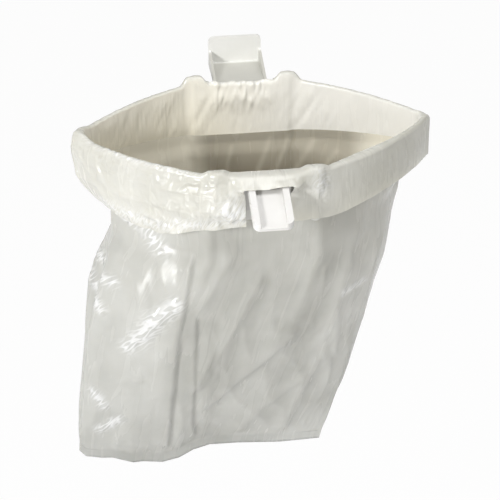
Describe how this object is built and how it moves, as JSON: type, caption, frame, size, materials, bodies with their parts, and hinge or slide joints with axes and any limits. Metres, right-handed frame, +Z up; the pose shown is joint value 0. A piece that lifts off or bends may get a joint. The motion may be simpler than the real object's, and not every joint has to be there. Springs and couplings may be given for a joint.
{
  "type": "folding bag holder",
  "caption": "Folding hoop of hinged plastic bands on a wall hook, with a pull handle in front, holding a thin carrier bag turned over its rim.",
  "frame": {"origin": "centre of the tape pad on the hook's lip, on the face that meets the wall", "axes": "+Y into the wall, +Z up, +X to the right seen from the front"},
  "size_m": [0.2661, 0.23, 0.302],
  "materials": {
    "film": "satin",
    "band_plastic": "satin",
    "hook_plastic": "satin",
    "handle_plastic": "gloss",
    "pin_plastic": "satin",
    "rivet_plastic": "satin",
    "tape": "matte"
  },
  "bodies": {
    "hanger": {"wall_pad": "tape", "hook": "hook_plastic", "hook_rivets": "rivet_plastic", "back_bracket": "band_plastic", "bracket_pin_left": "pin_plastic", "bracket_pin_right": "pin_plastic", "bracket_caps": "pin_plastic", "carrier_bag": "film"},
    "back_left": {"back_arm_left": "band_plastic"},
    "back_right": {"back_arm_right": "band_plastic"},
    "front_left": {"front_arm_left": "band_plastic", "corner_pin_left": "pin_plastic", "corner_cap_left": "pin_plastic"},
    "front_right": {"front_arm_right": "band_plastic", "corner_pin_right": "pin_plastic", "corner_cap_right": "pin_plastic"},
    "clip": {"front_clip": "band_plastic", "clip_pin_left": "pin_plastic", "clip_pin_right": "pin_plastic", "clip_caps": "pin_plastic", "pull_handle": "handle_plastic", "handle_rivets": "rivet_plastic"}
  },
  "joints": [
    {"name": "fold", "type": "hinge", "parent": "hanger", "child": "back_left", "pos_m": [-0.035, -0.0415, 0], "axis": [0, 0, -1], "range_deg": [0, 33], "deforming": ["carrier_bag"]},
    {"name": "fold_right", "type": "hinge", "parent": "hanger", "child": "back_right", "pos_m": [0.035, -0.0415, 0], "axis": [0, 0, 1], "range_deg": [0, 33]},
    {"name": "corner_left", "type": "hinge", "parent": "back_left", "child": "front_left", "pos_m": [-0.125, -0.1135, 0], "axis": [0, 0, 1], "range_deg": [0, 66]},
    {"name": "corner_right", "type": "hinge", "parent": "back_right", "child": "front_right", "pos_m": [0.125, -0.1135, 0], "axis": [0, 0, -1], "range_deg": [0, 66]},
    {"name": "clip_turn", "type": "hinge", "parent": "front_left", "child": "clip", "pos_m": [-0.035, -0.1855, 0], "axis": [0, 0, -1], "range_deg": [0, 33]}
  ],
  "couplings": [
    {"joint": "fold_right", "follows": "fold", "ratio": 1},
    {"joint": "corner_left", "follows": "fold", "ratio": 2},
    {"joint": "corner_right", "follows": "fold", "ratio": 2},
    {"joint": "clip_turn", "follows": "fold", "ratio": 1}
  ]
}
